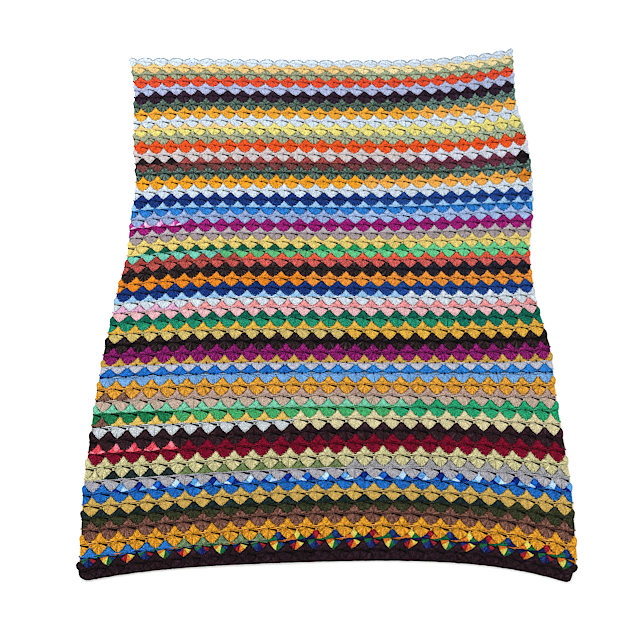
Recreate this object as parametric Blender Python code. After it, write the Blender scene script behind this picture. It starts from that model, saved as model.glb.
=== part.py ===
# Crochet blanket in wheel stitch, laid flat on its plain side.
# Metres, +Z up. +X runs across the rows and +Y towards the scalloped edge.
# The origin is the middle of the underside's box.

from collections import namedtuple
from math import hypot, pi, sin

import bmesh
import bpy

# Stitch counts. A row is one line of wheels from side to side, counted from the scalloped edge.
WHEELS_ACROSS = 26
WHEEL_ROWS = 51
ROW_PITCH = 0.0308  # mean distance between rows

# Thickness of the worked fabric
KNOT_THICKNESS = 0.0044
WHEEL_CROWN = 0.0018
SOFT_SWELL = 0.0004
SWELL_WAVES = ((3, 0.21), (5, -0.33))  # half waves across, and how far each turns with every row
SEAM_ROW = 44
SEAM_RISE = 0.0008

# Edges
SCALLOP_RISE = 0.019
SCALLOP_VALLEY = 0.007
SCALLOP_FULLNESS = 2.4
SCALLOP_CUTS = 2
LEFT_CORNER_RADIUS = 0.034
RIGHT_CORNER_RADIUS = 0.012
CORNER_CUTS = 4

# Moves the outline so that its box is centred on the origin
SHIFT_X = 0.0015
SHIFT_Y = -0.0011

# The blanket as it lies. At a row: x of both sides, y at mid width, how far the row lifts from that
# at its ends and at a quarter in from them, and how far the wheels drift sideways from even spacing.
# Row 52 is the lower edge.
Station = namedtuple(
    "Station",
    "row left right middle left_end left_quarter right_quarter right_end drift_left drift_middle drift_right",
)
STATIONS = (
    Station(1, -0.648, 0.619, 0.760, 0.010, 0.005, 0.004, 0.047, 0.014, 0.016, 0.014),
    Station(2, -0.638, 0.617, 0.741, 0.004, 0.004, 0.006, 0.046, 0.006, 0.013, 0.015),
    Station(5, -0.621, 0.614, 0.661, -0.004, 0.005, 0.006, 0.047, -0.007, 0.004, 0.014),
    Station(8, -0.614, 0.612, 0.571, -0.009, 0.004, 0.004, 0.042, -0.004, 0.006, 0.018),
    Station(12, -0.603, 0.632, 0.450, -0.006, 0.003, 0.001, 0.033, -0.009, -0.003, 0.012),
    Station(16, -0.586, 0.636, 0.323, -0.008, 0.001, 0.004, 0.027, -0.014, -0.009, 0.007),
    Station(20, -0.591, 0.625, 0.204, -0.015, 0.001, 0.007, 0.016, -0.006, -0.001, 0.008),
    Station(24, -0.591, 0.604, 0.092, -0.023, 0.000, 0.003, 0.009, -0.004, 0.006, 0.014),
    Station(27, -0.607, 0.602, 0.003, -0.025, -0.001, 0.000, 0.008, 0.004, 0.012, 0.016),
    Station(30, -0.616, 0.609, -0.086, -0.022, -0.003, -0.001, 0.010, 0.006, 0.011, 0.018),
    Station(34, -0.630, 0.632, -0.220, -0.015, -0.001, -0.001, 0.008, 0.003, 0.006, 0.011),
    Station(38, -0.638, 0.633, -0.345, -0.018, -0.006, -0.001, -0.006, 0.002, 0.007, 0.014),
    Station(42, -0.643, 0.641, -0.476, -0.031, -0.013, 0.000, -0.023, -0.002, 0.002, 0.007),
    Station(45, -0.644, 0.645, -0.573, -0.038, -0.015, -0.003, -0.031, -0.005, -0.003, 0.006),
    Station(48, -0.638, 0.641, -0.657, -0.045, -0.017, -0.005, -0.048, -0.007, -0.006, 0.000),
    Station(50, -0.635, 0.636, -0.720, -0.050, -0.017, -0.004, -0.056, -0.004, -0.006, -0.003),
    Station(52, -0.633, 0.612, -0.776, -0.050, -0.012, -0.001, -0.051, 0.000, -0.006, -0.006),
)

# Left-over yarns, as sRGB, and the yarn of each row from the scalloped edge down
YARNS = {
    "ice": "DCEBF2", "apricot": "F3CC84", "sage": "A3AE87", "vermilion": "F4501E",
    "lavender": "B9C2E6", "aubergine": "33202F", "loden": "4E6A5A", "amber": "F2A92B",
    "lemon": "F0DC66", "oyster": "D9CDC9", "brick": "A8443F", "navy": "163479",
    "sky": "6AAEE8", "periwinkle": "8FA6CE", "magenta": "A01478", "mauve": "A18C93",
    "bottle": "0F7A58", "black_brown": "241A1B", "tangerine": "F28A12", "rose": "EBA09C",
    "old_gold": "DFB44A", "royal": "2A78D6", "taupe": "B4938A", "mint": "3FAE74",
    "cream": "D8CE98", "crimson": "8F0F2A", "silver": "A7A69F", "mustard": "D7B452",
    "olive_black": "28322B", "chestnut": "7E5547", "rainbow": "73905F",
}
ROW_YARNS = (
    "ice apricot sage vermilion lavender aubergine loden amber ice lemon sage vermilion oyster "
    "brick loden amber ice navy sky periwinkle magenta mauve lemon bottle brick black_brown "
    "tangerine navy sky rose bottle old_gold black_brown magenta silver royal amber taupe mint "
    "cream black_brown crimson cream silver royal mustard olive_black chestnut amber rainbow aubergine"
).split()


def hermite(a, b, slope_a, slope_b, s):
    """A smooth value between a and b, with slopes given over the whole step."""
    return (
        a * (1 + 2 * s) * (1 - s) ** 2
        + slope_a * s * (1 - s) ** 2
        + b * s * s * (3 - 2 * s)
        + slope_b * s * s * (s - 1)
    )


def along(column, row):
    """A column of STATIONS read smoothly at any row."""
    row = min(max(row, STATIONS[0].row), STATIONS[-1].row)
    k = max(i for i, station in enumerate(STATIONS[:-1]) if station.row <= row)

    def slope(i):
        before, after = STATIONS[max(i - 1, 0)], STATIONS[min(i + 1, len(STATIONS) - 1)]
        return (getattr(after, column) - getattr(before, column)) / (after.row - before.row)

    step = STATIONS[k + 1].row - STATIONS[k].row
    a, b = getattr(STATIONS[k], column), getattr(STATIONS[k + 1], column)
    return hermite(a, b, slope(k) * step, slope(k + 1) * step, (row - STATIONS[k].row) / step)


def across(values, t):
    """One smooth curve through five values, evenly spaced from t = 0 to 1."""
    total = 0.0
    for i, value in enumerate(values):
        share = value
        for j in range(5):
            if j != i:
                share *= (4 * t - j) / (i - j)
        total += share
    return total


def on_sheet(t, row):
    """Plan position of a point at t across and at a row, with rounded lower corners."""
    left, right = along("left", row), along("right", row)
    drifts = [along(name, row) for name in ("drift_left", "drift_middle", "drift_right")]
    left_lifts = [along("left_end", row), along("left_quarter", row)]
    right_lifts = [along("right_quarter", row), along("right_end", row)]
    x = left + t * (right - left) + across([0.0, *drifts, 0.0], t)
    y = along("middle", row) + across([*left_lifts, 0.0, *right_lifts], t)
    if row < 1:
        swing = abs(((t * WHEELS_ACROSS + 0.5) % 1) - 0.5) * 2
        y += SCALLOP_VALLEY + (SCALLOP_RISE - SCALLOP_VALLEY) * (1 - swing**SCALLOP_FULLNESS)
    above_edge = (WHEEL_ROWS + 1 - row) * ROW_PITCH
    from_side = min(x - left, right - x)
    radius = LEFT_CORNER_RADIUS if t < 0.5 else RIGHT_CORNER_RADIUS
    if max(from_side, above_edge) < radius:
        inward, upward = from_side - radius, above_edge - radius
        shrink = 1 - min(1.0, radius / hypot(inward, upward))
        x -= inward * shrink * (1 if t < 0.5 else -1)
        y -= upward * shrink
    return x + SHIFT_X, y + SHIFT_Y


def height(t, row, crown):
    """Top surface: wheel crowns over the knots, on a soft swell, with a raised chain line."""
    swell = SOFT_SWELL * sum(sin(count * pi * t + turn * row) for count, turn in SWELL_WAVES)
    seam = SEAM_RISE if abs(row - SEAM_ROW) < 0.5 else 0.0
    return KNOT_THICKNESS + swell + seam + (WHEEL_CROWN if crown else 0.0)


def yarn_material(name):
    """Matt wool-like yarn in one colour."""
    material = bpy.data.materials.new("yarn_" + name)
    material.use_nodes = True
    shader = material.node_tree.nodes["Principled BSDF"]
    srgb = [int(YARNS[name][i : i + 2], 16) / 255 for i in (0, 2, 4)]
    linear = [c / 12.92 if c <= 0.04045 else ((c + 0.055) / 1.055) ** 2.4 for c in srgb]
    shader.inputs["Base Color"].default_value = (*linear, 1)
    shader.inputs["Roughness"].default_value = 0.9
    shader.inputs["Metallic"].default_value = 0.0
    shader.inputs["Sheen Weight"].default_value = 0.3
    material.diffuse_color = (*linear, 1)
    return material


def wheel_lattice():
    """A grid with a vertex at each wheel's middle and at each knot, cut into diamonds."""
    bm = bmesh.new()
    columns, lines = 2 * WHEELS_ACROSS, WHEEL_ROWS + 1
    bmesh.ops.create_grid(bm, x_segments=columns, y_segments=lines, size=0.5)
    column_of, line_of = {}, {}
    for vert in bm.verts:
        column_of[vert] = round((vert.co.x + 0.5) * columns)
        line_of[vert] = round((0.5 - vert.co.y) * lines)
    middles = {v for v in bm.verts if (column_of[v] + line_of[v]) % 2 == 1}
    for face in list(bm.faces):
        knots = [v for v in face.verts if v not in middles]
        bmesh.utils.face_split(face, knots[0], knots[1])
    for face in bm.faces:
        line = next(line_of[v] for v in face.verts if v in middles)
        face.material_index = min(max(line, 1), WHEEL_ROWS) - 1
    crowned = {v for v in middles if 0 < column_of[v] < columns and 0 < line_of[v] < lines}
    return bm, crowned


def cut_edges(bm):
    """Adds the outline points that the scallops and the round corners need."""
    cell = 1 / (WHEEL_ROWS + 1)
    scalloped, cornered = [], []
    for edge in bm.edges:
        if not edge.is_boundary:
            continue
        middle = (edge.verts[0].co + edge.verts[1].co) / 2
        if 0.5 - middle.y < cell / 4:
            scalloped.append(edge)
        elif hypot(0.5 - abs(middle.x), 0.5 + middle.y) < cell:
            cornered.append(edge)
    bmesh.ops.subdivide_edges(bm, edges=scalloped, cuts=SCALLOP_CUTS)
    bmesh.ops.subdivide_edges(bm, edges=cornered, cuts=CORNER_CUTS)


def lay_out(bm, crowned):
    """Moves every point of the grid to its place on the blanket's upper side."""
    for vert in bm.verts:
        t = vert.co.x + 0.5
        row = round((0.5 - vert.co.y) * (WHEEL_ROWS + 1), 3)
        z = height(t, row, vert in crowned)
        vert.co.x, vert.co.y = on_sheet(t, row)
        vert.co.z = z


def close_underside(bm):
    """Gives the sheet its thickness, with one flat face underneath."""
    upper = list(bm.faces)
    made = bmesh.ops.extrude_face_region(bm, geom=upper, use_keep_orig=True)["geom"]
    lower_verts = [item for item in made if isinstance(item, bmesh.types.BMVert)]
    lower_faces = [item for item in made if isinstance(item, bmesh.types.BMFace)]
    for vert in lower_verts:
        vert.co.z = 0.0
    bmesh.ops.dissolve_faces(bm, faces=lower_faces, use_verts=False)
    bmesh.ops.recalc_face_normals(bm, faces=bm.faces)


def make_blanket(collection):
    """One worked piece: 26 wheels across and 51 rows of them."""
    bm, crowned = wheel_lattice()
    cut_edges(bm)
    lay_out(bm, crowned)
    close_underside(bm)
    mesh = bpy.data.meshes.new("blanket")
    bm.to_mesh(mesh)
    bm.free()
    slots = sorted(set(ROW_YARNS))
    for name in slots:
        mesh.materials.append(yarn_material(name))
    for face in mesh.polygons:
        face.material_index = slots.index(ROW_YARNS[min(face.material_index, WHEEL_ROWS - 1)])
    blanket = bpy.data.objects.new("blanket", mesh)
    collection.objects.link(blanket)
    return blanket


for old in list(bpy.data.objects):
    bpy.data.objects.remove(old)
crochet_blanket = bpy.data.collections.new("crochet_blanket")
bpy.context.scene.collection.children.link(crochet_blanket)
make_blanket(crochet_blanket)
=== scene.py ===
from math import radians

import bpy
import numpy as np
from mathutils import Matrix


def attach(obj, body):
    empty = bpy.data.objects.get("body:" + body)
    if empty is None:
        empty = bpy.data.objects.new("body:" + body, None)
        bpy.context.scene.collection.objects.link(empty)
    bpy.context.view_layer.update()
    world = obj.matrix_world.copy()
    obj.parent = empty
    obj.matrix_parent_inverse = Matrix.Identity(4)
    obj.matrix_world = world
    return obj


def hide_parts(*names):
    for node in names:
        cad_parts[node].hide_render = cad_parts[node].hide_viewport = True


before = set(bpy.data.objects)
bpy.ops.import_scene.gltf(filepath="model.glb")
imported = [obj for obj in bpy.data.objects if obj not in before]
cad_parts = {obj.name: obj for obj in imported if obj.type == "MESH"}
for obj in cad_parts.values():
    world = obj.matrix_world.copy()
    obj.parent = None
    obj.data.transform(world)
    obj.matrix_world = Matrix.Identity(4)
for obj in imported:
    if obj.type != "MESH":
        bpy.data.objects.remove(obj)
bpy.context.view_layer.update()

# Crochet blanket in wheel stitch, worked from left-over yarns and laid flat.

rng = np.random.default_rng(26)
mm = 0.001


# Small helpers

lightnessWeights = (0.21, 0.72, 0.07)


def linear(hexColour):
    # sRGB hex to linear light
    srgb = np.array([int(hexColour[i : i + 2], 16) / 255 for i in (0, 2, 4)])
    return np.where(srgb <= 0.04045, srgb / 12.92, ((srgb + 0.055) / 1.055) ** 2.4)


def lightnessOf(colour):
    return colour @ lightnessWeights


def addNode(tree, kind, settings=None, links=None):
    node = tree.nodes.new("ShaderNode" + kind)
    for name, value in (settings or {}).items():
        if isinstance(name, int) or name in node.inputs:
            node.inputs[name].default_value = value
        else:
            setattr(node, name, value)
    for name, source in (links or {}).items():
        # a node stands for its first output
        socket = source.outputs[0] if isinstance(source, bpy.types.Node) else source
        tree.links.new(socket, node.inputs[name])
    return node


# Places on the sheet

# How the blanket lies, in metres: x of both sides, y at mid width, the lift of a row's ends and quarters,
# and how far the wheels drift sideways from even spacing at the quarters and at mid width.
# Row 52 is the lower edge.
lay = {
    "columns": ("row", "left", "right", "middle", "leftEnd", "leftQuarter", "rightQuarter", "rightEnd",
                "driftLeft", "driftMiddle", "driftRight"),
    "stations": (
        (1, -0.648, 0.619, 0.760, 0.010, 0.005, 0.004, 0.047, 0.014, 0.016, 0.014),
        (2, -0.638, 0.617, 0.741, 0.004, 0.004, 0.006, 0.046, 0.006, 0.013, 0.015),
        (5, -0.621, 0.614, 0.661, -0.004, 0.005, 0.006, 0.047, -0.007, 0.004, 0.014),
        (8, -0.614, 0.612, 0.571, -0.009, 0.004, 0.004, 0.042, -0.004, 0.006, 0.018),
        (12, -0.603, 0.632, 0.450, -0.006, 0.003, 0.001, 0.033, -0.009, -0.003, 0.012),
        (16, -0.586, 0.636, 0.323, -0.008, 0.001, 0.004, 0.027, -0.014, -0.009, 0.007),
        (20, -0.591, 0.625, 0.204, -0.015, 0.001, 0.007, 0.016, -0.006, -0.001, 0.008),
        (24, -0.591, 0.604, 0.092, -0.023, 0.000, 0.003, 0.009, -0.004, 0.006, 0.014),
        (27, -0.607, 0.602, 0.003, -0.025, -0.001, 0.000, 0.008, 0.004, 0.012, 0.016),
        (30, -0.616, 0.609, -0.086, -0.022, -0.003, -0.001, 0.010, 0.006, 0.011, 0.018),
        (34, -0.630, 0.632, -0.220, -0.015, -0.001, -0.001, 0.008, 0.003, 0.006, 0.011),
        (38, -0.638, 0.633, -0.345, -0.018, -0.006, -0.001, -0.006, 0.002, 0.007, 0.014),
        (42, -0.643, 0.641, -0.476, -0.031, -0.013, 0.000, -0.023, -0.002, 0.002, 0.007),
        (45, -0.644, 0.645, -0.573, -0.038, -0.015, -0.003, -0.031, -0.005, -0.003, 0.006),
        (48, -0.638, 0.641, -0.657, -0.045, -0.017, -0.005, -0.048, -0.007, -0.006, 0.000),
        (50, -0.635, 0.636, -0.720, -0.050, -0.017, -0.004, -0.056, -0.004, -0.006, -0.003),
        (52, -0.633, 0.612, -0.776, -0.050, -0.012, -0.001, -0.051, 0.000, -0.006, -0.006),
    ),
    "shift": (0.0015, -0.0011),   # brings the middle of the blanket's box to the origin
    "wheelsAcross": 26,
    "rows": 51,
    "wheelPitch": 48 * mm,
    "rowPitch": 30.8 * mm,
    "cornerRadii": (34 * mm, 12 * mm),   # of the lower left and the lower right corner
    "swell": 0.4 * mm,   # the cloth never lies quite flat
}

stations = {name: np.array(column, float) for name, column in zip(lay["columns"], zip(*lay["stations"]))}
halfPitch = lay["wheelPitch"] / 2 / mm
rowPitch = lay["rowPitch"] / mm
lastColumn = float(lay["wheelsAcross"])


def readAlong(name, row):
    # smooth curve through one column of the stations
    at, values = stations["row"], stations[name]
    row = np.clip(row, at[0], at[-1])
    k = np.clip(np.searchsorted(at, row, side="right") - 1, 0, len(at) - 2)
    last = len(at) - 1
    slopes = np.array([
        (values[min(i + 1, last)] - values[max(i - 1, 0)]) / (at[min(i + 1, last)] - at[max(i - 1, 0)])
        for i in range(len(at))
    ])
    step = at[k + 1] - at[k]
    s = (row - at[k]) / step
    return (
        values[k] * (1 + 2 * s) * (1 - s) ** 2 + slopes[k] * step * s * (1 - s) ** 2
        + values[k + 1] * s * s * (3 - 2 * s) + slopes[k + 1] * step * s * s * (s - 1)
    )


def readAcross(names, row, t):
    # one curve through five columns, evenly spaced across a row; None stands for nought
    total = 0.0
    for i, name in enumerate(names):
        if name:
            share = readAlong(name, row)
            for j in range(5):
                if j != i:
                    share = share * (4 * t - j) / (i - j)
            total = total + share
    return total


def onSheet(u, row):
    # u in wheels from the left side, row counted down from the scalloped edge
    t = u / lay["wheelsAcross"]
    left, right = readAlong("left", row), readAlong("right", row)
    x = left + t * (right - left) + readAcross((None, "driftLeft", "driftMiddle", "driftRight", None), row, t)
    lift = readAcross(("leftEnd", "leftQuarter", None, "rightQuarter", "rightEnd"), row, t)
    edgeRow = lay["rows"] + 1
    beyond = np.where(row < 1, 1 - row, np.where(row > edgeRow, edgeRow - row, 0.0))
    y = readAlong("middle", row) + lift + beyond * lay["rowPitch"]
    # the lower corners are round: points beyond the arc are drawn in to it
    radius = np.where(t < 0.5, *lay["cornerRadii"])
    fromSide = np.minimum(x - left, right - x) - radius
    fromEdge = (edgeRow - row) * lay["rowPitch"] - radius
    shrink = np.where(
        (fromSide < 0) & (fromEdge < 0),
        1 - np.minimum(1, radius / np.maximum(np.hypot(fromSide, fromEdge), 1e-9)), 0.0,
    )
    x = x - fromSide * shrink * np.where(t < 0.5, 1, -1)
    y = y - fromEdge * shrink
    return x + lay["shift"][0], y + lay["shift"][1]


def swellAt(u, row):
    t = u / lay["wheelsAcross"]
    return lay["swell"] * (np.sin(3 * np.pi * t + 0.21 * row) + np.sin(5 * np.pi * t - 0.33 * row))


# Yarns and the rows that they make

# Yarns by their shade, sRGB. A list is a heathered or space-dyed yarn, which goes through its shades in
# turn, and its number is the stitches to a shade.
yarns = {
    "ice": "D5E3F2", "frost": "D0DDEA", "apricot": "EDC984", "butter": "F2DFA8", "vermilion": "E84E2E",
    "lavender": "B2BBDD", "aubergine": "2C1B2C", "amber": "EDA632", "lemon": "E8DC80", "flame": "F2541F",
    "ember": "D84A22", "oyster": "CFC6C6", "mist": "D3D7E4", "brick": "A04745", "russet": "723F3D",
    "plum": "6A3246", "dusk": "6E4145", "ink": "1F1418", "marigold": "F4A322", "peach": "F4AE4C",
    "copper": "DA8422", "navy": "163479", "marine": "1D448E", "sky": "96C4EC", "azure": "2B7FD2",
    "periwinkle": "97ADD8", "hyacinth": "A4BEE8", "magenta": "9C1C75", "mauve": "A5989B", "dove": "BBB0B6",
    "yellow": "E6CF78", "bottle": "0B5A44", "aqua": "74CBB6", "leaf": "62BE80", "fernGreen": "239A5A",
    "spring": "68CE90", "rust": "A8443F", "coral": "EA5E42", "brickRose": "C05650", "coralRose": "D4605A",
    "blueBlack": "23202C", "tangerine": "EB8A22", "papaya": "EE9436", "pearl": "D3DEE7",
    "salmon": "EE9698", "shell": "EAB9BE", "lilac": "DFAACA", "deepGreen": "0A6350", "emerald": "1F9270",
    "lagoon": "0E7460", "gold": "E2B044", "paleGold": "D3BC70", "mustard": "C9A04C",
    "silverLilac": "C0C1CE", "royal": "1F6CC6", "cornflower": "78ACE4", "taupe": "B79A8E",
    "sand": "C5AF9D", "umber": "7D5A4C", "mint": "74C9A6", "fern": "45AC6A", "forest": "1A7C4C",
    "jade": "27A470", "straw": "E0BC62", "silver": "C9D0D4", "cream": "D8CEA2", "maroon": "2D1A20",
    "crimson": "7C0828", "blackGreen": "1C2B2A", "olive": "6F8354", "grey": "9C9C9E",
    "silverMauve": "AFADB5", "cobalt": "1F6BC2", "honey": "D0AC5A", "oliveBlack": "363A24",
    "denim": "2D78CC", "moss": "708A64", "raisin": "26161D",
    "blackBrown": (1, "1C1315", "362A2C", "261A1C"),
    "ecru": (1, "BFB886", "D8D2A4", "CDC794"),
    "chestnut": (1, "6A4338", "8B6256", "7C5448"),
    "orange": (1, "CE8A20", "ECAA38", "E09A28"),
    "saffron": (1, "D0902C", "EBAA42", "E2A038"),
    "purple": (1, "76145A", "9A2478", "8B1A6B"),
    "sage": (1, "8A9070", "B0B69A", "A0A688"),
    "celadon": (1, "93A180", "BAC6AA", "A8B696"),
    "loden": (1, "37493F", "6C8276", "566C60"),
    "slate": (1, "3A4E47", "6E867C", "5A7067"),
    "teal": (1, "456059", "7A988E", "648279"),
    "coralMix": (3, "F0505E", "F58090", "E04458"),
    "pinkMix": (3, "F2C6E6", "E79AD0", "C03C98"),
    "oceanMix": (4, "BFE0FA", "1B66CF", "0A2A86", "5FA6EC"),
    "rainbowMix": (3, "9E1C28", "DC7A28", "DFD05C", "1E6B42", "1E3A80", "1C1F55"),
}

# Rows from the scalloped edge down: yarn of the upper half-wheels, then of the lower ones if it differs.
# A number after a yarn is the wheel from which the next yarn of that row takes over.
rowChart = (
    # rows 1 to 7
    "ice", "apricot 15 butter", "sage 16 celadon", "vermilion", "lavender", "aubergine", "loden 19 teal",
    # rows 8 to 13
    "amber 19 peach", "frost", "apricot 8.5 lemon / lemon", "sage 17 celadon", "flame 25 ember",
    "oyster 19 mist",
    # rows 14 to 20
    "ink 3 brick 13.8 plum 25 ink / russet 14.8 dusk 20 plum 25 ink", "slate 21 teal",
    "marigold 15.5 peach 25 copper", "frost", "navy 15 marine", "sky / azure", "periwinkle 14 hyacinth",
    # rows 21 to 26
    "pinkMix 3.2 magenta / magenta", "dove / mauve", "yellow",
    "yellow 1 bottle 12.2 fernGreen 17.6 spring / aqua 6.2 leaf 12 spring",
    "rust 7.9 coral / brickRose 7.9 coralRose", "blackBrown 17 blueBlack",
    # rows 27 to 33
    "tangerine 12 papaya", "navy 15 marine", "sky 17.3 pearl / pearl", "lilac 4.2 salmon / shell",
    "deepGreen / emerald 20.6 lagoon", "gold / paleGold 13.8 gold", "blackBrown",
    # rows 34 to 39
    "purple", "mustard / silverLilac", "royal 11 azure / cornflower", "saffron", "umber 2.2 taupe / sand",
    "mint 17.3 jade / forest 4.5 fern 16.8 jade",
    # rows 40 to 45
    "umber 1 straw 11.5 cream / silver 11.5 cream", "maroon", "coralMix 4.6 crimson / crimson", "ecru",
    "ecru 1 blackGreen 4.6 olive 14.2 grey / silverMauve", "cobalt 2 oceanMix / cobalt",
    # rows 46 to 51
    "honey", "blackGreen 23 oliveBlack / oliveBlack", "chestnut", "orange",
    "denim 5 moss 10.5 rainbowMix / rainbowMix", "raisin",
)

dye = {
    "stitchesAWheel": 12,      # how fast a space-dyed yarn is used up across a row
    "stitchesToNextRow": 17,   # so that its shades don't line up from row to row
    "blend": 0.2,              # share of a run in which one shade turns into the next
    "leastSpread": 0.05,       # how much the stitches of one yarn differ in brightness
    "addedSpread": 0.07,
    "mostSpread": 0.30,
}

# Pale yarns scatter light into their own shadows and dark ones swallow it, so the shading of a stitch is
# raised to a power that falls with its yarn's lightness.
shadowDepth = {
    "lightness": (0.012, 0.04, 0.45, 0.85),
    "power": (1.8, 1.0, 0.55, 0.15),
}


def shadeOf(name, stitch):
    # linear colour of each stitch
    if isinstance(yarns[name], str):
        return np.broadcast_to(linear(yarns[name]), (len(stitch), 3))
    run, *shades = yarns[name]
    shades = np.array([linear(s) for s in shades])
    place = stitch / run
    k = np.floor(place).astype(int) % len(shades)
    blend = np.clip((place % 1 - 1 + dye["blend"]) / dye["blend"], 0, 1)[:, None]
    return shades[k] * (1 - blend) + shades[(k + 1) % len(shades)] * blend


def rowColours(row, isUpper, u, stitch):
    # colour of each stitch of half a row, from the row's words in the chart
    halves = rowChart[min(row, lay["rows"]) - 1].split("/")
    words = halves[0 if isUpper else -1].split()
    colours = np.zeros((len(u), 3))
    start = -1.0
    for k in range(0, len(words), 2):
        end = float(words[k + 1]) if k + 1 < len(words) else lastColumn + 1
        here = (u >= start) & (u < end)
        colours[here] = shadeOf(words[k], stitch[here])
        start = end
    return colours


def contrastOf(colour):
    return np.interp(lightnessOf(colour), shadowDepth["lightness"], shadowDepth["power"])


def rowShades(rows, row, isUpper, u, stitch):
    # the same for stitches of several rows, each a little lighter or darker by chance
    colours = np.zeros((len(u), 3))
    for r in rows:
        here = row == r
        colours[here] = rowColours(r, isUpper, u[here], stitch[here] + r * dye["stitchesToNextRow"])
    spread = np.minimum(dye["leastSpread"] + dye["addedSpread"] * contrastOf(colours) ** 3, dye["mostSpread"])
    return colours * np.exp(rng.normal(0, spread))[:, None]


# Strands: every stitch is a half-round strand that lies on the ground

strand = {
    "across": np.array((-1.0, -0.5, 0.5, 1.0)),
    "rise": np.array((0.0, 0.93, 0.93, 0.0)),
    "gap": 1.0,           # height at which a strand's sides meet the ground, mm
    # painted shade: the sides of every strand are drawn darker, as they sink between their neighbours
    "paintedGapShade": 0.20,      # the sides sink between their neighbours and read darker
    "girth": 1.3,         # length over the strand's back for each unit of its width
    "wrapStart": 40.0,    # the wraps of the yarn start anywhere in this length, mm
    "bakeMargin": 0.1,    # share of a strand's cell in the bake map that stays free
}


class StrandSet:
    # gathers strands of any number of stations and turns them into one mesh
    def __init__(self):
        self.batches = []
        self.count = 0

    def add(self, u, row, path, halfWidth, height, colour, tone=1.0):
        # path (n, s, 2) in mm from the wheel's eye; halfWidth, height and tone (n, s)
        if not len(path):
            return
        n, s, _ = path.shape
        across, paintedGapShade = strand["across"], strand["paintedGapShade"]
        halfWidth, height, tone = (np.broadcast_to(v, (n, s)) for v in (halfWidth, height, tone))
        ahead = np.gradient(path, axis=1)
        ahead /= np.maximum(np.linalg.norm(ahead, axis=2, keepdims=True), 1e-6)
        sideways = np.stack([ahead[..., 1], -ahead[..., 0]], axis=-1)
        plan = path[:, :, None, :] + sideways[:, :, None, :] * (halfWidth[:, :, None] * across)[..., None]
        atU = u[:, None, None] + plan[..., 0] * mm / lay["wheelPitch"]
        atRow = row[:, None, None] - plan[..., 1] * mm / lay["rowPitch"]
        x, y = onSheet(atU, atRow)
        low = strand["gap"] * mm
        z = low + (height[:, :, None] * mm - low) * strand["rise"] + swellAt(atU, atRow)
        # painted shade: each stitch's colour times its darker sides and its tone along it, deeper for dark
        # yarns
        shade = tone[:, :, None] * np.array((paintedGapShade, 1.0, 1.0, paintedGapShade))
        shade = shade ** contrastOf(colour)[:, None, None]
        length = np.cumsum(np.linalg.norm(np.diff(path, axis=1, prepend=path[:, :1]), axis=2), axis=1)
        length = length + rng.uniform(0, strand["wrapStart"], (n, 1))
        self.batches.append({
            "points": np.stack([x, y, z], axis=-1),
            "colours": colour[:, None, None, :] * shade[..., None],
            "strandMap": np.stack([
                halfWidth[:, :, None] * across * strand["girth"],
                np.broadcast_to(length[:, :, None], (n, s, 4)),
            ], axis=-1),
            "cell": self.count + np.arange(n),
        })
        self.count += n

    def meshInto(self, name, material):
        columns = int(np.ceil(np.sqrt(self.count * 4)))
        lines = int(np.ceil(self.count / columns))
        margin = strand["bakeMargin"]
        faces, bakeMap, base = [], [], 0
        for batch in self.batches:
            n, s = batch["points"].shape[:2]
            corner = base + np.arange(n * s * 4).reshape(n, s, 4)
            faces.append(np.stack(
                [corner[:, :-1, :-1], corner[:, :-1, 1:], corner[:, 1:, 1:], corner[:, 1:, :-1]], axis=-1
            ).reshape(-1, 4))
            # each strand has its own cell of the bake map
            cellU = (batch["cell"] % columns)[:, None, None] + 0.5 + (0.5 - margin) * strand["across"]
            alongCell = margin + (1 - 2 * margin) * np.linspace(0, 1, s)[:, None]
            cellV = (batch["cell"] // columns)[:, None, None] + alongCell
            cells = np.stack(np.broadcast_arrays(cellU / columns, cellV / lines), axis=-1)
            bakeMap.append(cells.reshape(-1, 2))
            base += n * s * 4
        gathered = {
            key: np.concatenate([b[key].reshape(-1, b[key].shape[-1]) for b in self.batches])
            for key in ("points", "colours", "strandMap")
        }
        maps = {"strandMap": gathered["strandMap"], "OFBake": np.concatenate(bakeMap)}
        return makeMesh(name, gathered["points"], np.concatenate(faces), gathered["colours"], maps, material)


def makeMesh(name, points, faces, colours, maps, material):
    # colours and maps go with the points
    mesh = bpy.data.meshes.new(name)
    mesh.vertices.add(len(points))
    mesh.vertices.foreach_set("co", points.astype(np.float32).ravel())
    mesh.loops.add(faces.size)
    mesh.loops.foreach_set("vertex_index", faces.astype(np.int32).ravel())
    mesh.polygons.add(len(faces))
    mesh.polygons.foreach_set("loop_start", np.arange(0, faces.size, faces.shape[1], dtype=np.int32))
    shade = mesh.attributes.new("yarnColourAndPaintedShade", "FLOAT_COLOR", "POINT")
    rgba = np.column_stack([colours, np.ones(len(colours))])
    shade.data.foreach_set("color", rgba.astype(np.float32).ravel())
    for mapName, values in maps.items():
        layer = mesh.uv_layers.new(name=mapName)
        layer.data.foreach_set("uv", values[faces.ravel()].astype(np.float32).ravel())
    mesh.update()
    mesh.validate()
    mesh.polygons.foreach_set("use_smooth", np.ones(len(faces), bool))
    mesh.materials.append(material)
    made = bpy.data.objects.new(name, mesh)
    bpy.context.scene.collection.objects.link(made)
    return made


# Stitches of a wheel, in mm from its eye. Thicknesses are half widths.
# Its lower half is a fan of tall stitches worked into one loop, and its upper half is a cluster whose
# legs hook over the rims of the two fans above it.

wheel = {
    "bandRows": (1, 8, 14, 21, 27, 34, 40, 46, 52),   # the first row of each band, which is one mesh
    "eyedRows": (35, 36),   # here the slit is a round hole above the bars
    "sideInset": 2.4,       # legs that point along a side of the blanket move in by this
    "sideReach": 8.0,
    "sideStart": 0.6,       # and at the eye by this share of it
}
handwork = {  # how uneven the stitches are: standard deviations, in mm or as a share
    "legEnd": 0.35, "legBow": 0.5, "legWidth": 0.06, "legHeight": 0.18, "headWidth": 0.06,
    "headHeight": 0.15, "knotPlace": 0.25, "knotWidth": 0.08, "barPlace": 0.15, "slitPlace": 0.3,
    "chainPlace": 0.25, "chainTone": 0.06,
}


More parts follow.
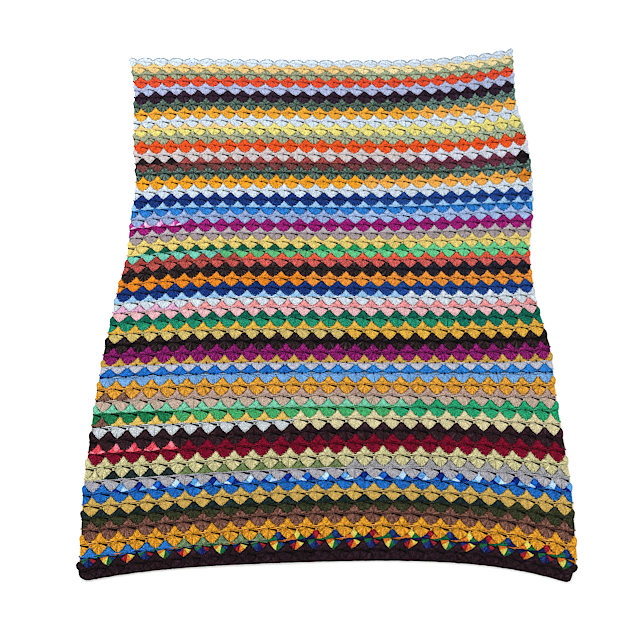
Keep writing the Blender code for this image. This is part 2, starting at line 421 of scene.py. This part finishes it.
def wheelCentres(rows):
    # odd rows have a wheel at each whole pitch, the outer two cut in half by the sides
    u, row = [], []
    for r in rows:
        places = np.arange(0, lay["wheelsAcross"] + 1) if r % 2 else np.arange(lay["wheelsAcross"]) + 0.5
        u.append(places)
        row.append(np.full(len(places), r))
    return np.concatenate(u).astype(float), np.concatenate(row)


def eachLeg(rows, count):
    u, row = wheelCentres(rows)
    return np.repeat(u, count), np.repeat(row, count), np.tile(np.arange(count), len(u))


def legs(strands, half, u, row, end, colour, tone, widen=1.0):
    # stitches from the eye to their ends, each a little bowed
    n = len(u)
    inset, reach = wheel["sideInset"], wheel["sideReach"]
    inward = np.where(u == 0, inset, np.where(u == lastColumn, -inset, 0.0)) * (np.abs(end[:, 0]) < reach)
    start = np.column_stack([inward * wheel["sideStart"], np.full(n, half["start"])])
    end = end + rng.normal(0, handwork["legEnd"], (n, 2)) + np.column_stack([inward, 0 * inward])
    along = np.array(half["along"])
    path = start[:, None, :] + (end - start)[:, None, :] * along[:, None]
    run = (end - start) / np.linalg.norm(end - start, axis=1, keepdims=True)
    bow = rng.normal(0, handwork["legBow"], (n, 1)) * np.sin(np.pi * along)
    path = path + np.stack([run[:, 1], -run[:, 0]], axis=-1)[:, None, :] * bow[..., None]
    width = np.array(half["thickness"]) * rng.normal(1, handwork["legWidth"], (n, 1)) * widen
    height = np.array(half["height"]) + rng.normal(0, handwork["legHeight"], (n, 1))
    strands.add(u, row, path, width, height, colour, tone)


head = {  # the chain on top of each stitch
    "thickness": (0.72, 1.44, 0.72),
    "height": (3.6, 5.3, 3.8),
    # painted light: the heads, lying on top, are drawn a tenth lighter
    "tone": 1.1,
    "sideInset": 1.2,
}


def heads(strands, u, row, path, colour):
    n, inset = len(u), head["sideInset"]
    first, last = (u == 0)[:, None], (u == lastColumn)[:, None]
    path[..., 0] = np.where(first, np.maximum(path[..., 0], inset), path[..., 0])
    path[..., 0] = np.where(last, np.minimum(path[..., 0], -inset), path[..., 0])
    width = np.array(head["thickness"]) * rng.normal(1, handwork["headWidth"], (n, 1))
    height = np.array(head["height"]) + rng.normal(0, handwork["headHeight"], (n, 1))
    strands.add(u, row, path, width, height, colour, head["tone"])


fan = {
    "legs": 10, "spread": (-0.94, 0.77), "start": -1.8,
    "eyedStretch": 1.2,   # right legs spread wider where no slit opens
    "cutLeft": -0.15, "cutRight": 0.1,   # what is left of a fan that a side cuts in half
    "centre": -5.0, "halfWidth": 20.6, "depth": 21.3, "power": 1.28,
    "narrow": {35: (18.4, 15.8), 50: (19.2, 21.3)},   # half width and depth in these rows
    "headSpan": 0.12,
    "along": (0.03, 0.30, 0.56, 0.82, 1.0),
    "thickness": (1.1, 1.9, 2.7, 3.2, 3.1),
    "height": (3.4, 5.4, 6.2, 6.0, 4.8),
    # painted shade at the eye and painted light towards the rim, along each leg
    "tone": (0.5, 0.95, 1.05, 1.2, 1.15),
}


def fanRim(s, row):
    # a place on the fan's rim: -1 at its left tip, 0 straight down, 1 at its right tip
    angle = s * np.pi / 2
    across, down = np.abs(np.sin(angle)), np.abs(np.cos(angle))
    width, depth = fan["halfWidth"], fan["depth"]
    for narrowRow, (narrowWidth, narrowDepth) in fan["narrow"].items():
        width = np.where(row == narrowRow, narrowWidth, width)
        depth = np.where(row == narrowRow, narrowDepth, depth)
    power = fan["power"]
    radius = ((across / width) ** power + (down / depth) ** power) ** (-1 / power)
    return np.stack([radius * np.sin(angle), fan["centre"] - radius * np.cos(angle)], axis=-1)


def fans(strands, rows):
    u, row, k = eachLeg(rows, fan["legs"])
    s = np.linspace(*fan["spread"], fan["legs"])[k]
    keep = ~(((u == 0) & (s < fan["cutLeft"])) | ((u == lastColumn) & (s > fan["cutRight"])))
    u, row, k, s = u[keep], row[keep], k[keep], s[keep]
    s = np.where(np.isin(row, wheel["eyedRows"]) & (s > 0), s * fan["eyedStretch"], s)
    colour = rowShades(rows, row, False, u, u * dye["stitchesAWheel"] + k)
    legs(strands, fan, u, row, fanRim(s, row), colour, np.array(fan["tone"]))
    turns = np.array((-1, 0, 1)) * fan["headSpan"]
    path = np.stack([fanRim(np.clip(s + turn, -1, 1), row) for turn in turns], axis=1)
    heads(strands, u, row, path, colour)


cluster = {
    "legs": 9, "firstStitch": 5, "start": 0.7, "hookDepth": 0.96,
    "hooks": (-0.06, 0.22, 0.50, 0.76),   # where the left legs meet the rim of the fan at the upper left
    "top": 21.8, "topWiden": 2.3,         # the middle leg, which is wider than the others
    "narrowTop": 24.5, "narrowTopWiden": 3.2,
    "along": (0.03, 0.36, 0.72, 0.86, 1.0),
    "thickness": (1.2, 2.5, 3.2, 2.6, 1.6),
    "height": (3.6, 5.6, 5.2, 2.4, 5.6),
    # painted shade at the eye and painted light along each leg
    "tone": (0.6, 1.05, 1.1, 1.0, 1.1),
    # tones of the left, middle and right legs where they dip under a rim and where they come out: painted
    # shadow where the side legs dip under a rim
    "paintedDipShadows": {-1: (0.14, 1.0), 0: (1.0, 1.1), 1: (0.02, 0.40)},
    "darkYarn": 0.98, "leastDipTone": 0.6,
    "scallopFoot": 5.0, "scallopHeight": 12.0, "scallopPower": 1.15, "scallopWidth": 0.97,
    "headSpan": 0.13,
}


def scallopRim(s):
    # a place on the low arc of a first row's wheel
    angle = s * np.pi / 2
    arc = np.abs(np.cos(angle)) ** cluster["scallopPower"]
    y = cluster["scallopFoot"] + cluster["scallopHeight"] * arc
    return np.stack([cluster["scallopWidth"] * halfPitch * np.sin(angle), y], axis=-1)


def clusters(strands, rows):
    # from left to right: legs to the fan at the upper left, one straight up, legs to the other fan
    u, row, k = eachLeg(rows, cluster["legs"])
    side = np.sign(k - cluster["legs"] // 2)
    keep = ~(((u == 0) & (side < 0)) | ((u == lastColumn) & (side > 0)))
    u, row, k, side = u[keep], row[keep], k[keep], side[keep]
    hooks = np.array((*cluster["hooks"], 0, *cluster["hooks"][::-1]))[k]
    end = fanRim(hooks, row - 1) * cluster["hookDepth"] + (-halfPitch, rowPitch)
    end[:, 0] *= -side
    end[side == 0, 0] = 0
    underNarrow = np.isin(row - 1, list(fan["narrow"]))
    top = np.where(underNarrow, cluster["narrowTop"], cluster["top"])
    end[:, 1] = np.where(side == 0, top, end[:, 1])
    scallop = (k + 0.5) / cluster["legs"] * 2 - 1
    end = np.where((row == 1)[:, None], scallopRim(scallop), end)
    stitch = u * dye["stitchesAWheel"] + k + cluster["firstStitch"]
    colour = rowShades(rows, row, True, u, stitch)
    tone = np.tile(cluster["tone"], (len(u), 1))
    for way, paintedDipShadows in cluster["paintedDipShadows"].items():
        tone[side == way, 3:] = paintedDipShadows
    # neither dark yarns nor the rows under narrow fans have the painted shadow line along the rims
    noDipShadow = (contrastOf(colour) > cluster["darkYarn"]) | underNarrow
    tone[noDipShadow, 3:] = np.maximum(tone[noDipShadow, 3:], cluster["leastDipTone"])
    topWiden = np.where(underNarrow, cluster["narrowTopWiden"], cluster["topWiden"])
    legs(strands, cluster, u, row, end, colour, tone, np.where(side == 0, topWiden, 1.0)[:, None])
    if 1 in rows:
        turns = np.array((-1, 0, 1)) * cluster["headSpan"]
        path = np.stack([scallopRim(np.clip(scallop + turn, -1, 1)) for turn in turns], axis=1)
        heads(strands, *(v[row == 1] for v in (u, row, path, colour)))


bar = {
    "x": (2.4, 8.6, 15.0, 21.2),
    "rightY": (0.0, -0.8, -1.6, -2.6),
    "leftY": (-0.4, -1.4, -2.2, -3.0),
    "thickness": (0.9, 1.5, 1.5, 1.2),
    "height": (4.0, 5.2, 5.4, 5.0),
    "upperYarnRow": 50,   # its bars are still worked in the yarn of the upper half-wheels
}


def bars(strands, rows):
    # three chain stitches from the eye to each side; a slit stays open under the right ones
    u, row = wheelCentres(rows)
    for side, ys in ((1, bar["rightY"]), (-1, bar["leftY"])):
        keep = ~((u == 0) & (side < 0)) & ~((u == lastColumn) & (side > 0))
        at, atRow = u[keep], row[keep]
        path = np.stack([np.array(bar["x"]) * side, ys], axis=-1)
        path = path + rng.normal(0, handwork["barPlace"], (len(at), 1, 2))
        stitch = at * dye["stitchesAWheel"]
        colour = rowShades(rows, atRow, False, at, stitch)
        fromAbove = atRow == bar["upperYarnRow"]
        if fromAbove.any():
            onlyRow = (bar["upperYarnRow"],)
            colour[fromAbove] = rowShades(onlyRow, atRow[fromAbove], True, at[fromAbove], stitch[fromAbove])
        strands.add(at, atRow, path, np.array(bar["thickness"]), np.array(bar["height"]), colour)


# painted shadow: dark strands stand for the shade in the holes at a wheel's right, at its eye and at its left
slit = {  # the hole at a wheel's right, where the bar and the fan part, drawn as a dark strand
    "path": ((-1.2, -0.6), (5.5, -2.6), (12.5, -4.4), (19.5, -6.0)),
    "thickness": (1.7, 1.1, 1.3, 1.5),
    "height": (5.7, 5.9, 5.8, 4.0),
    "shade": 0.07,
    "faintRows": (2, 3, 4, 5, 12, 34, 42),   # here the yarn's own light fills the slits
    "faintShade": 0.25,
    "eyePath": ((-2.4, 2.0), (-0.8, 2.2), (0.8, 2.2), (2.4, 2.0)),
    "eyeThickness": (1.0, 1.8, 1.8, 1.0),
    "eyeHeight": 6.4,
    "eyeShade": 0.4,
    "openRows": (32, 37, 40, 43, 46, 49),    # here a second slit opens at a wheel's left
    "leftPath": ((-20.5, -6.6), (-18.5, -5.4), (-16.5, -4.6), (-13.5, -4.0)),
    "leftThickness": (0.8, 1.7, 1.4, 0.7),
    "leftHeight": 5.9,
}


def slits(strands, rows):
    # painted shadow: the dark of the hole, from the eye to the knot, drawn as a darkened strand of the row's
    # yarn
    u, row = wheelCentres(rows)
    u, row = u[u < lastColumn], row[u < lastColumn]
    eyed = np.isin(row, wheel["eyedRows"])
    path = np.array(slit["path"]) + rng.normal(0, handwork["slitPlace"], (len(u), 4, 2))
    path[eyed] = slit["eyePath"]
    width = np.where(eyed[:, None], slit["eyeThickness"], slit["thickness"])
    height = np.where(eyed[:, None], slit["eyeHeight"], slit["height"])
    depth = np.where(np.isin(row, slit["faintRows"]), slit["faintShade"], slit["shade"])
    colour = rowShades(rows, row, False, u, u * dye["stitchesAWheel"]) * depth[:, None]
    colour[eyed] *= slit["eyeShade"]
    keep = (row > 1) & ~(eyed & (u == 0))
    strands.add(*(v[keep] for v in (u, row, path, width, height, colour)))
    keep = np.isin(row, slit["openRows"]) & (u > 0)
    path = np.array(slit["leftPath"]) + rng.normal(0, handwork["slitPlace"], (len(u), 4, 2))
    width = np.array(slit["leftThickness"])
    strands.add(u[keep], row[keep], path[keep], width, slit["leftHeight"], colour[keep])


knot = {  # three short stitches between neighbouring wheels, measured from the left one's eye
    "crossX": (21.4, 23.2, 24.8, 26.6),
    "crossY": (-10.2, -7.2, -5.0, -2.6),
    "overX": (12.5, 20.0, 28.0, 35.5),
    "overY": (1.8, 0.8, 0.8, 1.8),
    "thickness": (1.08, 1.8, 1.8, 1.08),
    "height": (4.5, 5.8, 5.8, 4.5),
    # painted light: the knots are drawn brighter and whiter than their yarn, as they stand proud, and darker
    # at their ends
    "tone": (0.8, 1.0, 1.0, 0.8),
    "brighter": 1.12, "whiter": 0.17, "mostLight": 0.95,   # they stand proud in the light
    "shortRow": 35, "shorten": 0.6,   # between shallow fans
    "hiddenRow": 50,                  # the last row's clusters hide these crosses
}


def knots(strands, rows):
    # a cross, with a stitch over it
    u, row = wheelCentres(rows)
    inside = u < lastColumn - 0.6   # a row's last wheel has no neighbour at its right
    u, row = u[inside], row[inside]
    shorten = np.where(row == knot["shortRow"], knot["shorten"], 1.0)
    seen = row != knot["hiddenRow"]
    colour = rowShades(rows, row, False, u + 0.5, u * dye["stitchesAWheel"])
    # painted highlight on the knots
    whiter = knot["whiter"] * (1 - colour) * lightnessOf(colour)[:, None]
    light = np.minimum(colour * knot["brighter"] + whiter, knot["mostLight"])
    for xs, ys, shown in (
        (knot["crossX"], knot["crossY"], seen),
        (knot["crossX"], knot["crossY"][::-1], seen),
        (knot["overX"], knot["overY"], row > 0),
    ):
        n = shown.sum()
        path = np.stack([np.tile(xs, (n, 1)), np.outer(shorten[shown], ys)], axis=-1)
        path = path + rng.normal(0, handwork["knotPlace"], (n, 1, 2))
        width = np.array(knot["thickness"]) * rng.normal(1, handwork["knotWidth"], (n, 1))
        height, tone = np.array(knot["height"]), np.array(knot["tone"])
        strands.add(u[shown], row[shown], path, width, height, light[shown], tone)


post = {
    "x": (1.6, 1.9, 1.9, 1.6),
    "thickness": (1.4, 1.7, 1.7, 1.3),
    "height": (4.0, 4.6, 4.6, 3.6),
    "shortReach": 0.35,   # beside a whole wheel, as a share of the row pitch
    "inside": 0.4,        # the wheel that gives the yarn lies this far from the side
}


def sidePosts(strands, rows):
    # turning chains that carry the sides from row to row
    for r in rows:
        for u, side in ((0.0, 1), (lastColumn, -1)):
            for isUpper in (True, False):
                reach = rowPitch if r % 2 else rowPitch * post["shortReach"]
                if r == 1 and isUpper:
                    reach = cluster["scallopHeight"]
                up = np.linspace(0.0, reach, 4) * (1 if isUpper else -1)
                path = np.stack([np.array(post["x"]) * side, up], axis=-1)[None]
                at = np.clip(np.array([u]), post["inside"], lastColumn - post["inside"])
                colour = rowColours(r, isUpper, at, np.array([r * float(dye["stitchesToNextRow"])]))
                width, height = np.array(post["thickness"]), np.array(post["height"])
                strands.add(np.array([u]), np.array([r]), path, width, height, colour)


chain = {
    "lines": ((44, 0.0, 6.2), (52, 1.8, 4.8)),   # row, offset and height of each line of chain stitches
    "count": 260,
    "overlap": 1.15,
    "thickness": (0.9, 1.7, 1.7, 0.8),
    "fall": (-1.8, 0.0, 0.2, -1.6),
    # painted light: the chain, lying on top, is drawn a tenth lighter
    "tone": 1.1,
}


def chainLine(strands, row, offset, height):
    # a line of chain stitches along a row, such as the one that ends the lower edge
    count = chain["count"]
    u = (np.arange(count) + 0.5) / count * lastColumn
    half = lastColumn / count * halfPitch * chain["overlap"]
    path = np.stack([
        np.broadcast_to(np.array((-1, -0.35, 0.35, 1)) * half, (count, 4)),
        offset + rng.normal(0, handwork["chainPlace"], (count, 4)),
    ], axis=-1)
    colour = rowColours(row, False, u, u * dye["stitchesAWheel"])
    colour = colour * rng.normal(1, handwork["chainTone"], (count, 1))
    width, height = np.array(chain["thickness"]), height + np.array(chain["fall"])
    strands.add(u, np.full(count, row), path, width, height, colour, chain["tone"])


# Ground sheet: the back of the fabric, seen from underneath; its upper side, painted in shade, is seen
# between the stitches

ground = {
    "thickness": 1.1 * mm,
    "quilting": 0.5 * mm,     # the knots lie this much higher than the wheels' middles
    "edgeInset": 2.0 * mm,
    "farEdge": (0.5, 0.86),   # row that the far edge reaches at the wheels and at the knots
    # painted shade: the sheet's upper side and rim are drawn this dark, by the yarn's lightness
    "shade": 0.06,            # how dark it is between the stitches
    "rim": "mauve",
    "middleStitch": 4,
    "tieBreak": 0.01,         # a wheel just where a row changes yarn keeps the first one
    "bakeSpan": 1.8,          # width of the bake map, m
}


def latticePoints():
    # one point at each wheel's middle and at each knot
    columns, lines = 2 * lay["wheelsAcross"], lay["rows"] + 1
    i, k = np.meshgrid(np.arange(columns + 1), np.arange(lines + 1))
    row, u = k.astype(float), i / 2.0
    row[0] = np.where(i[0] % 2 == 0, *ground["farEdge"])
    row[-1] -= ground["edgeInset"] / lay["rowPitch"]
    u[:, 0] += ground["edgeInset"] / lay["wheelPitch"]
    u[:, -1] -= ground["edgeInset"] / lay["wheelPitch"]
    return i, k, u, row


def halfDiamonds(columns, lines):
    # each cell of the lattice is cut from knot to knot: three corners, then the wheel that owns it
    faces, owners = [], []
    for b in range(lines):
        for a in range(columns):
            upperLeft = b * (columns + 1) + a
            upperRight, lowerLeft = upperLeft + 1, upperLeft + columns + 1
            lowerRight = lowerLeft + 1
            if (a + b) % 2:
                faces += [(upperLeft, lowerLeft, upperRight), (lowerRight, upperRight, lowerLeft)]
                owners += [(a, b, False), (a + 1, b + 1, True)]
            else:
                faces += [(lowerLeft, lowerRight, upperLeft), (upperRight, upperLeft, lowerRight)]
                owners += [(a, b + 1, True), (a + 1, b, False)]
    return np.array(faces), np.array(owners)


def rimFaces(columns, lines):
    # two triangles for each step around the sheet
    count = (lines + 1) * (columns + 1)
    lattice = np.arange(count).reshape(lines + 1, columns + 1)
    ring = np.concatenate([lattice[:-1, 0], lattice[-1, :-1], lattice[:0:-1, -1], lattice[0, :0:-1]])
    following = np.roll(ring, -1)
    return np.concatenate([
        np.column_stack([ring, ring + count, following]),
        np.column_stack([following, ring + count, following + count]),
    ])


def groundColours(ownerU, ownerRow, isUpper):
    # each face has the yarn of its half-wheel
    colours = np.zeros((len(ownerU), 3))
    for r in range(1, lay["rows"] + 1):
        for half in (True, False):
            here = (np.clip(ownerRow, 1, lay["rows"]) == r) & (isUpper == half)
            stitch = ownerU[here] * dye["stitchesAWheel"] + r * dye["stitchesToNextRow"]
            stitch = stitch + ground["middleStitch"]
            colours[here] = rowColours(r, half, ownerU[here] - ground["tieBreak"], stitch)
    return colours


def makeGround(material):
    i, k, u, row = latticePoints()
    lines, columns = i.shape[0] - 1, i.shape[1] - 1
    isMiddle = ((i + k) % 2 == 1).ravel()
    x, y = (v.ravel() for v in onSheet(u, row))
    low = np.where(isMiddle, 0.0, ground["quilting"])
    high = low + ground["thickness"]
    points = np.concatenate([np.column_stack([x, y, high]), np.column_stack([x, y, low])])
    faces, owners = halfDiamonds(columns, lines)
    rim = rimFaces(columns, lines)
    allFaces = np.concatenate([faces, faces[:, ::-1] + len(x), rim])

    # each corner holds its yarn's colour and its place on the wheel; the upper side and the rim are painted
    # in shade
    ownerU, ownerRow = owners[:, 0] / 2, owners[:, 1]
    colours = groundColours(ownerU, ownerRow, owners[:, 2] == 1)
    inShade = colours * ground["shade"] ** contrastOf(colours)[:, None]
    rimColour = np.tile(linear(yarns[ground["rim"]]), (len(rim), 1))
    faceColours = np.concatenate([inShade, colours, rimColour * ground["shade"]])
    place = np.stack([
        (u.ravel()[faces] - ownerU[:, None]) * 2, ownerRow[:, None] - row.ravel()[faces],
    ], axis=-1)
    wheelMap = np.concatenate([place, place[:, ::-1], np.zeros((len(rim), 3, 2))])
    isBack = np.concatenate([np.zeros(len(faces)), np.ones(len(faces)), np.zeros(len(rim))])
    spot = points[allFaces, :2] / ground["bakeSpan"] + 0.5
    bakeMap = np.stack([(spot[..., 0] + isBack[:, None]) / 2, spot[..., 1]], axis=-1)

    mesh = bpy.data.meshes.new("ground")
    mesh.from_pydata(points.tolist(), [], allFaces.tolist())
    shade = mesh.attributes.new("yarnColourAndPaintedShade", "FLOAT_COLOR", "CORNER")
    cornerColours = np.repeat(np.column_stack([faceColours, np.ones(len(faceColours))]), 3, axis=0)
    shade.data.foreach_set("color", cornerColours.astype(np.float32).ravel())
    for mapName, values in (("wheelMap", wheelMap), ("OFBake", bakeMap)):
        mesh.uv_layers.new(name=mapName).data.foreach_set("uv", values.astype(np.float32).ravel())
    mesh.materials.append(material)
    mesh.update()
    made = bpy.data.objects.new("ground", mesh)
    bpy.context.scene.collection.objects.link(made)
    return made


# Materials

# Tones are map ranges: 1 and 2 are the pattern's own limits, 3 and 4 the tones that they become.
yarnLook = {
    "sheen": 0.04, "sheenRoughness": 0.45, "specular": 0.07,
    "wrapPitch": 5.0,      # mm; real plies are finer but would not show at this size
    "wrapSlant": 0.8,
    # painted shade in the grooves between the wraps and painted light on their backs
    "paintedWrapShade": {1: -1.0, 2: 0.3, 3: 0.40, 4: 1.18},
    "fuzzGrain": 10 / 9,   # mm, nine tufts of fibres to the centimetre; real ones would not show
    "fuzzTone": {1: 0.3, 2: 0.7, 3: 0.92, 4: 1.08},
    "unevenGrain": 10 / 2.3,   # mm, about the width of a stitch
    "unevenTone": {1: 0.34, 2: 0.66, 3: 0.62, 4: 1.38},
    # painted shade: how deep the shading of the wraps goes
    "contrast": {1: 0.10, 2: 0.75, 3: 1.6, 4: 0.50},   # from dark to pale yarns
    "roughness": {1: 0.3, 2: 0.7, 3: 0.78, 4: 0.98},
    "wrapBump": {"Strength": 0.6, "Distance": 0.8 * mm},
    "fuzzBump": {"Strength": 0.35, "Distance": 0.6 * mm},
}
backLook = {
    "sheen": 0.15, "specular": 0.2,
    "spokesAFan": 2.0 * fan["legs"],
    # painted shade over all the back and between the spokes
    "paintedSpokeShade": {1: -1.0, 2: 1.0, 3: 0.45, 4: 0.75},
    "fuzzGrain": 10 / 7,
    "fuzzTone": {1: 0.3, 2: 0.7, 3: 0.85, 4: 1.15},
    "roughness": {1: 0.3, 2: 0.7, 3: 0.8, 4: 1.0},
    "spokeBump": {"Strength": 0.8, "Distance": 1.2 * mm},
    "fuzzBump": {"Strength": 0.3, "Distance": 0.6 * mm},
}


def startMaterial(name, look):
    # a material with its tree, its shader, the yarn's colour with its painted shade, and the object's space
    # for patterns
    material = bpy.data.materials.new(name)
    material.use_nodes = True
    tree = material.node_tree
    shader = tree.nodes["Principled BSDF"]
    shader.inputs["Sheen Weight"].default_value = look["sheen"]
    shader.inputs["Specular IOR Level"].default_value = look["specular"]
    shade = addNode(tree, "Attribute", {"attribute_name": "yarnColourAndPaintedShade"}).outputs["Color"]
    space = addNode(tree, "TexCoord").outputs["Object"]
    return material, tree, shader, shade, space


def finishMaterial(tree, shader, look, shade, tone, fuzz, relief):
    # the shade times its tone, a roughness that follows the fuzz, and fuzz on top of the relief
    colour = addNode(tree, "VectorMath", {"operation": "SCALE"}, {0: shade, "Scale": tone})
    tree.links.new(colour.outputs[0], shader.inputs["Base Color"])
    rough = addNode(tree, "MapRange", look["roughness"], {0: fuzz})
    tree.links.new(rough.outputs[0], shader.inputs["Roughness"])
    bump = addNode(tree, "Bump", look["fuzzBump"], {"Height": fuzz, "Normal": relief})
    tree.links.new(bump.outputs[0], shader.inputs["Normal"])


def yarnMaterial():
    # plied acrylic yarn: matt and slightly fuzzy, its wraps seen as slanting ribs along each stitch, with
    # painted shade between them
    look = yarnLook
    material, tree, shader, shade, space = startMaterial("acrylicYarnPlied", look)
    shader.inputs["Sheen Roughness"].default_value = look["sheenRoughness"]
    place = addNode(tree, "UVMap", {"uv_map": "strandMap"})
    split = addNode(tree, "SeparateXYZ", links={0: place})
    slant = addNode(tree, "Math", {"operation": "MULTIPLY", 1: look["wrapSlant"]}, {0: split.outputs[0]})
    run = addNode(tree, "Math", {"operation": "ADD"}, {0: split.outputs[1], 1: slant})
    turn = addNode(tree, "Math", {"operation": "MULTIPLY", 1: 2 * np.pi / look["wrapPitch"]}, {0: run})
    wraps = addNode(tree, "Math", {"operation": "SINE"}, {0: turn})
    fuzzScale, unevenScale = 1 / (look["fuzzGrain"] * mm), 1 / (look["unevenGrain"] * mm)
    fuzz = addNode(tree, "TexNoise", {"Scale": fuzzScale, "Detail": 2.0, "Roughness": 0.6}, {"Vector": space})
    uneven = addNode(tree, "TexNoise", {"Scale": unevenScale, "Detail": 1.0}, {"Vector": space})
    paintedWrapShade = addNode(tree, "MapRange", look["paintedWrapShade"], {0: wraps})
    fuzzTone = addNode(tree, "MapRange", look["fuzzTone"], {0: fuzz})
    unevenTone = addNode(tree, "MapRange", look["unevenTone"], {0: uneven})
    tone = addNode(tree, "Math", {"operation": "MULTIPLY"}, {0: paintedWrapShade, 1: fuzzTone})
    tone = addNode(tree, "Math", {"operation": "MULTIPLY"}, {0: tone, 1: unevenTone})
    # the wraps of a dark yarn stand out more than those of a pale one, as the painted shade is raised to a
    # higher power
    lightness = addNode(tree, "RGBToBW", links={0: shade})
    root = addNode(tree, "Math", {"operation": "SQRT"}, {0: lightness})
    contrast = addNode(tree, "MapRange", look["contrast"], {0: root})
    tone = addNode(tree, "Math", {"operation": "POWER"}, {0: tone, 1: contrast})
    relief = addNode(tree, "Bump", look["wrapBump"], {"Height": wraps})
    finishMaterial(tree, shader, look, shade, tone.outputs[0], fuzz, relief)
    return material


def backMaterial():
    # the back of the fabric: the same yarns, painted in shade as they lie deeper, so duller, with painted
    # shade between the wheels' spokes
    look = backLook
    material, tree, shader, shade, space = startMaterial("acrylicYarnBack", look)
    place = addNode(tree, "UVMap", {"uv_map": "wheelMap"})
    split = addNode(tree, "SeparateXYZ", links={0: place})
    angle = addNode(tree, "Math", {"operation": "ARCTAN2"}, {0: split.outputs[1], 1: split.outputs[0]})
    turn = addNode(tree, "Math", {"operation": "MULTIPLY", 1: look["spokesAFan"]}, {0: angle})
    spokes = addNode(tree, "Math", {"operation": "SINE"}, {0: turn})
    fuzzScale = 1 / (look["fuzzGrain"] * mm)
    fuzz = addNode(tree, "TexNoise", {"Scale": fuzzScale, "Detail": 3.0}, {"Vector": space})
    paintedSpokeShade = addNode(tree, "MapRange", look["paintedSpokeShade"], {0: spokes})
    fuzzTone = addNode(tree, "MapRange", look["fuzzTone"], {0: fuzz})
    tone = addNode(tree, "Math", {"operation": "MULTIPLY"}, {0: paintedSpokeShade, 1: fuzzTone})
    relief = addNode(tree, "Bump", look["spokeBump"], {"Height": spokes})
    finishMaterial(tree, shader, look, shade, tone.outputs[0], fuzz, relief)
    return material


def floorMaterial():
    # matt painted board, near white, with no gloss to mirror the yarns
    material = bpy.data.materials.new("paintedBoardWhite")
    material.use_nodes = True
    shader = material.node_tree.nodes["Principled BSDF"]
    shader.inputs["Base Color"].default_value = (*linear(studio["floor"]), 1)
    shader.inputs["Roughness"].default_value = 0.9
    return material


# Making the blanket

def makeBand(first, end, material):
    rows = range(first, end)
    strands = StrandSet()
    # a last half row of clusters fills the lower edge up to a straight line
    clusters(strands, [*rows, end] if end > lay["rows"] else rows)
    fans(strands, rows)
    bars(strands, rows)
    slits(strands, rows)
    knots(strands, rows)
    sidePosts(strands, rows)
    for row, offset, height in chain["lines"]:
        if min(row, lay["rows"]) in rows:
            chainLine(strands, row, offset, height)
    print("rows", first, "to", end - 1, "strands", strands.count)
    return strands.meshInto("wheelRows_%02d_%02d" % (first, end - 1), material)


def makeBlanket():
    yarn, back = yarnMaterial(), backMaterial()
    under = makeGround(back)
    limits = wheel["bandRows"]
    bands = [makeBand(first, end, yarn) for first, end in zip(limits, limits[1:])]
    for piece in [under, *bands]:
        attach(piece, "root")
        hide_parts("blanket")


# Studio: daylight from all sides, a little stronger from the far left

studio = {
    "eye": (-0.0175, -0.6951, 1.7557),
    "tilt": 17.96,        # degrees from straight down
    "lens": 36.11,
    "sensor": 36.0,
    "floor": "F7F7F5",
    "floorSize": 30,
    "floorDrop": 0.5 * mm,
    "world": 0.89,
    # name, place, turn in degrees, size and power
    "lights": (
        ("keyLight", (-1.6, 1.5, 2.2), (-38, -32, 0), 1.8, 52),
        ("fillLight", (2.0, -1.2, 2.4), (25, 36, 0), 2.4, 17),
    ),
    "sharpening": 0.16,
}


def makeFloor():
    bpy.ops.mesh.primitive_plane_add(size=studio["floorSize"], location=(0, 0, -studio["floorDrop"]))
    floor = bpy.context.object
    floor.name = "floor"
    floor.data.materials.append(floorMaterial())


def makeLights():
    world = bpy.data.worlds.new("studioWhite")
    bpy.context.scene.world = world
    world.use_nodes = True
    sky = world.node_tree.nodes["Background"]
    sky.inputs["Color"].default_value = (1, 1, 1, 1)
    sky.inputs["Strength"].default_value = studio["world"]
    for name, place, turn, size, power in studio["lights"]:
        light = bpy.data.lights.new(name, "AREA")
        light.shape = "DISK"
        light.size = size
        light.energy = power
        lamp = bpy.data.objects.new(name, light)
        lamp.location = place
        lamp.rotation_euler = [radians(a) for a in turn]
        bpy.context.scene.collection.objects.link(lamp)


def makeCamera():
    camera = bpy.data.cameras.new("camera")
    camera.lens = studio["lens"]
    camera.sensor_width = studio["sensor"]
    viewer = bpy.data.objects.new("camera", camera)
    viewer.location = studio["eye"]
    viewer.rotation_euler = (radians(studio["tilt"]), 0, 0)
    bpy.context.scene.collection.objects.link(viewer)
    bpy.context.scene.camera = viewer
    bpy.context.scene.view_settings.view_transform = "Standard"  # keeps the yarns as bright as they are


def sharpenPicture():
    # the crisp stitches of a phone's picture
    scene = bpy.context.scene
    scene.use_nodes = True
    tree = scene.node_tree
    tree.nodes.clear()
    layers = tree.nodes.new("CompositorNodeRLayers")
    sharpen = tree.nodes.new("CompositorNodeFilter")
    sharpen.filter_type = "SHARPEN_DIAMOND"
    sharpen.inputs["Fac"].default_value = studio["sharpening"]
    final = tree.nodes.new("CompositorNodeComposite")
    tree.links.new(layers.outputs["Image"], sharpen.inputs["Image"])
    tree.links.new(sharpen.outputs["Image"], final.inputs["Image"])


print("making the blanket")
makeBlanket()
print("setting up the studio")
makeFloor()
makeLights()
makeCamera()
sharpenPicture()
